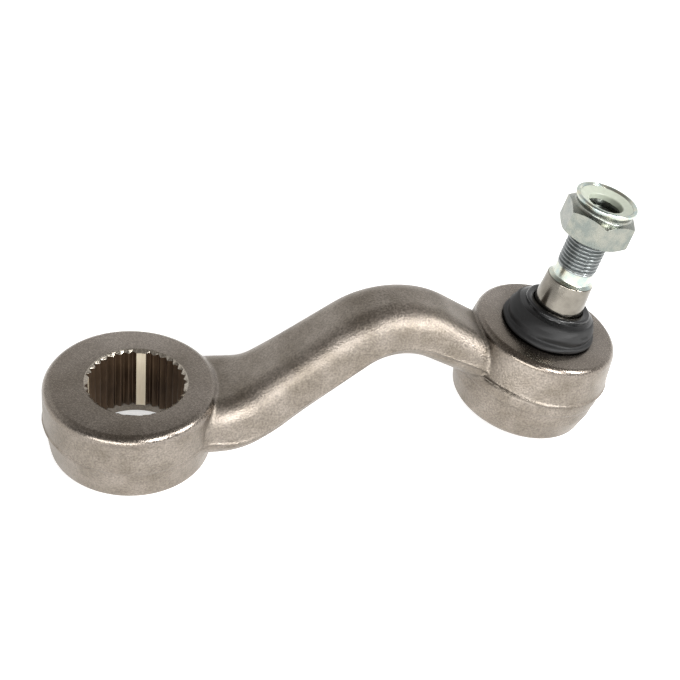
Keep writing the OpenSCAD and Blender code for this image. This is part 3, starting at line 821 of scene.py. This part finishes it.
nut_rows += [(nut_shoulder + 2.3, collar_r)] + arc(crimp, crimp_round, -20, 110, 8)
nut_rows += [(nut_top - 0.7, insert_r), (insert_foot - insert_gap, insert_r)]
nut_rows += [(insert_foot - insert_gap, hole_r), (nut_foot + hole_bevel, hole_r)]
nut = solid("lock_nut_formed", *turned(nut_rows, on_stud, nut_angles, loop=True))
nut.data.materials.append(zinc)
# The crimped collar takes the lighter zinc, a painted highlight
nut.data.materials.append(zinc_painted_highlight)
for face in nut.data.polygons:
    height = (np.array(face.center) / MM - ball) @ stud_axis
    face.material_index = int(height > nut_shoulder + bright_from)
rounding = nut.modifiers.new("worn_edges", "BEVEL")
rounding.width, rounding.segments = worn_edge * MM, 2
rounding.limit_method, rounding.angle_limit = "ANGLE", math.radians(worn_angle)
rounding.harden_normals = False
shade(nut, worn_angle)
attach(nut, "nut")
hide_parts("lock_nut")

# Nylon ring
# Moulded in pale natural nylon, dished towards its hole, and held under the nut's crimped rim. The
# thread cuts its own way through it, which locks the nut.
ring_hole, ring_edge, ring_dish_r, ring_round = 5.6, 8.65, 7.4, 0.5
rim_drop, dish_drop, throat_drop, nylon_grain_mm = 0.75, 1.0, 2.0, 1.2
ring_rows = [(insert_foot, ring_hole), (insert_foot, ring_edge), (nut_top - rim_drop, ring_edge)]
ring_rows += [(nut_top - dish_drop, ring_dish_r)]
ring_rows += arc((nut_top - throat_drop, ring_hole + ring_round), ring_round, 80, 180, 6)
nylon_ring = solid("nylon_ring_moulded", *turned(ring_rows, on_stud, loop=True))
nylon, tree, shader, place = finish_of(
    "moulded_nylon", IOR=1.53, Subsurface_Weight=0.15, Subsurface_Radius=(0.0012, 0.0012, 0.001))
grain = add(tree, "ShaderNodeTexNoise", {
    "Vector": place, "Scale": 1 / (nylon_grain_mm * MM), "Detail": 3})
colour = add(tree, "ShaderNodeMix", {
    "Factor": grain.outputs["Fac"], "A": linear("#adb4a4"), "B": linear("#c8cebe")}, data_type="RGBA")
gloss = add(tree, "ShaderNodeMapRange", {"Value": grain.outputs["Fac"], "To Min": 0.3, "To Max": 0.45})
bumps = add(tree, "ShaderNodeBump", {
    "Height": grain.outputs["Fac"], "Strength": 0.15, "Distance": 0.05 * MM})
tree.links.new(colour.outputs["Result"], shader.inputs["Base Color"])
tree.links.new(gloss.outputs["Result"], shader.inputs["Roughness"])
tree.links.new(bumps.outputs["Normal"], shader.inputs["Normal"])
nylon_ring.data.materials.append(nylon)
shade(nylon_ring, 40)
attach(nylon_ring, "nut_ring")
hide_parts("nut_insert")

# Studio
# A white table that runs out of sight, two softboxes to the right of the camera and a long low one to
# its left. The room is white at the back and along the horizon, grey overhead and behind the camera.
floor_size, table_glow = 40.0, 0.62
floor_z = cad_box[0].z
floor_mesh = bpy.data.meshes.new("table")
half = floor_size / 2
floor_mesh.from_pydata(
    [(-half, -half, floor_z), (half, -half, floor_z), (half, half, floor_z), (-half, half, floor_z)],
    [], [(0, 1, 2, 3)])
table = bpy.data.objects.new("table", floor_mesh)
bpy.context.scene.collection.objects.link(table)
white, tree, shader, place = finish_of("matt_white_table", Roughness=0.9, Specular_IOR_Level=0.1)
shader.inputs["Base Color"].default_value = linear("#f2f2f1")
seen = add(tree, "ShaderNodeLightPath")
direct = add(tree, "ShaderNodeMath", {
    0: seen.outputs["Is Camera Ray"], 1: seen.outputs["Is Glossy Ray"]}, operation="MAXIMUM")
through = add(tree, "ShaderNodeMath", {
    0: direct.outputs["Value"], 1: seen.outputs["Is Transmission Ray"]}, operation="MAXIMUM")
glow = add(tree, "ShaderNodeMath", {0: through.outputs["Value"], 1: table_glow}, operation="MULTIPLY")
shader.inputs["Emission Color"].default_value = linear("#ffffff")
tree.links.new(glow.outputs["Value"], shader.inputs["Emission Strength"])
floor_mesh.materials.append(white)

room = bpy.data.worlds.new("room")
room.use_nodes = True
bpy.context.scene.world = room
tree = room.node_tree
direction = add(tree, "ShaderNodeTexCoord").outputs["Generated"]
across = add(tree, "ShaderNodeSeparateXYZ", {"Vector": direction})
depth, height = across.outputs["Y"], across.outputs["Z"]
behind = add(tree, "ShaderNodeMapRange", {
    "Value": depth, "From Min": -0.35, "From Max": 0.55}, interpolation_type="SMOOTHSTEP")
climb = add(tree, "ShaderNodeMapRange", {
    "Value": height, "From Min": 0.5, "From Max": 0.97}, interpolation_type="SMOOTHSTEP")
walls = add(tree, "ShaderNodeMix", {
    "Factor": behind.outputs["Result"], "A": linear("#7c7977"), "B": linear("#ffffff")},
    data_type="RGBA")
above = add(tree, "ShaderNodeMapRange", {
    "Value": height, "From Min": 0.12, "From Max": 0.3}, interpolation_type="SMOOTHSTEP")
sides = add(tree, "ShaderNodeMix", {
    "Factor": above.outputs["Result"], "A": linear("#ffffff"), "B": walls.outputs["Result"]},
    data_type="RGBA")
sky = add(tree, "ShaderNodeMix", {
    "Factor": climb.outputs["Result"], "A": sides.outputs["Result"], "B": linear("#8a8682")},
    data_type="RGBA")
tree.links.new(sky.outputs["Result"], tree.nodes["Background"].inputs["Color"])
tree.nodes["Background"].inputs["Strength"].default_value = 1.0

aim = Vector((0.055, 0, 0.01))
lights = (
    ("key_softbox", 23, 31, 0.3, 0.34, 7.5),
    ("side_softbox", 62, 31, 0.3, 0.34, 7.0),
    ("front_softbox", -26, 14, 1.1, 0.22, 8.0),
)
light_distance = 1.1
for name, azimuth, elevation, wide, tall, watts in lights:
    lamp = bpy.data.lights.new(name, "AREA")
    lamp.shape, lamp.size, lamp.size_y, lamp.energy = "RECTANGLE", wide, tall, watts
    softbox = bpy.data.objects.new(name, lamp)
    a, e = math.radians(azimuth), math.radians(elevation)
    back = Vector((math.sin(a) * math.cos(e), -math.cos(a) * math.cos(e), math.sin(e)))
    softbox.location = aim + back * light_distance
    softbox.rotation_euler = back.to_track_quat("Z", "Y").to_euler()
    bpy.context.scene.collection.objects.link(softbox)

# Camera
# The photograph's view: from the front left and above, turned a little, with a long lens.
sensor_mm, lens_mm = 36, 100.3
camera_at = Vector((-56.19, -446.97, 390.64))
camera_data = bpy.data.cameras.new("camera")
camera_data.sensor_width, camera_data.lens = sensor_mm, lens_mm
camera_data.clip_start, camera_data.clip_end = 0.01, 100
camera = bpy.data.objects.new("camera", camera_data)
camera_azimuth, camera_elevation, camera_roll = (math.radians(d) for d in (-15.0, 38.43, 5.36))
back = Vector((
    math.sin(camera_azimuth) * math.cos(camera_elevation),
    -math.cos(camera_azimuth) * math.cos(camera_elevation),
    math.sin(camera_elevation)))
level = Vector((math.cos(camera_azimuth), math.sin(camera_azimuth), 0))
right = level * math.cos(camera_roll) + back.cross(level) * math.sin(camera_roll)
aimed = Matrix((right, back.cross(right), back)).transposed().to_4x4()
camera.matrix_world = Matrix.Translation(camera_at * MM) @ aimed
bpy.context.scene.collection.objects.link(camera)
bpy.context.scene.camera = camera
bpy.context.scene.view_settings.view_transform = "Standard"
